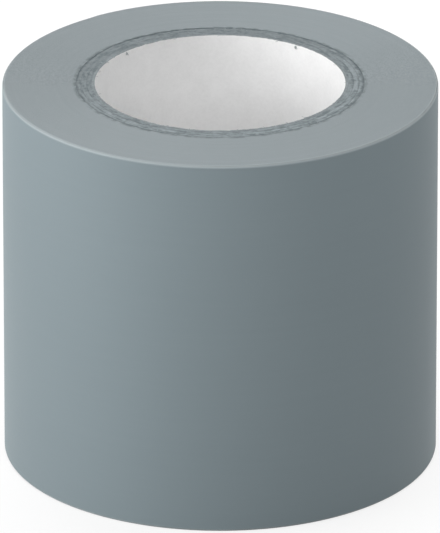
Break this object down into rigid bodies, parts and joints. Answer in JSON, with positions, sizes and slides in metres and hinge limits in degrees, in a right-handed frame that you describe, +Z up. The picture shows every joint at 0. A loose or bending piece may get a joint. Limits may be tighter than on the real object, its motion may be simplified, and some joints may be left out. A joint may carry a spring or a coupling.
{
  "type": "sealing tape roll",
  "caption": "Roll of plain grey PVC sealing tape wound on a lined paper core, standing on its flat end, with a free end that peels off the outside.",
  "frame": {"origin": "on the roll's axis, at the bottom face that the roll stands on", "axes": "+Z up along the roll's axis; -Y towards the picture's camera, +X to its right"},
  "size_m": [0.0552, 0.0553, 0.05],
  "materials": {
    "liner_paper": "matte",
    "core_board": "matte",
    "pvc_edges": "matte",
    "pvc_film": "satin"
  },
  "bodies": {
    "roll": {"core_liner": "liner_paper", "core_ply_inner": "core_board", "core_ply_middle": "core_board", "core_ply_outer": "core_board", "wound_turns": "pvc_edges", "outer_turn": "pvc_film"},
    "tail": {"tape_tail": "pvc_film"}
  },
  "joints": [
    {"name": "tail_peel", "type": "hinge", "parent": "roll", "child": "tail", "pos_m": [0.01485, 0.02332, 0.025], "axis": [0, 0, -1], "range_deg": [0, 150]}
  ]
}
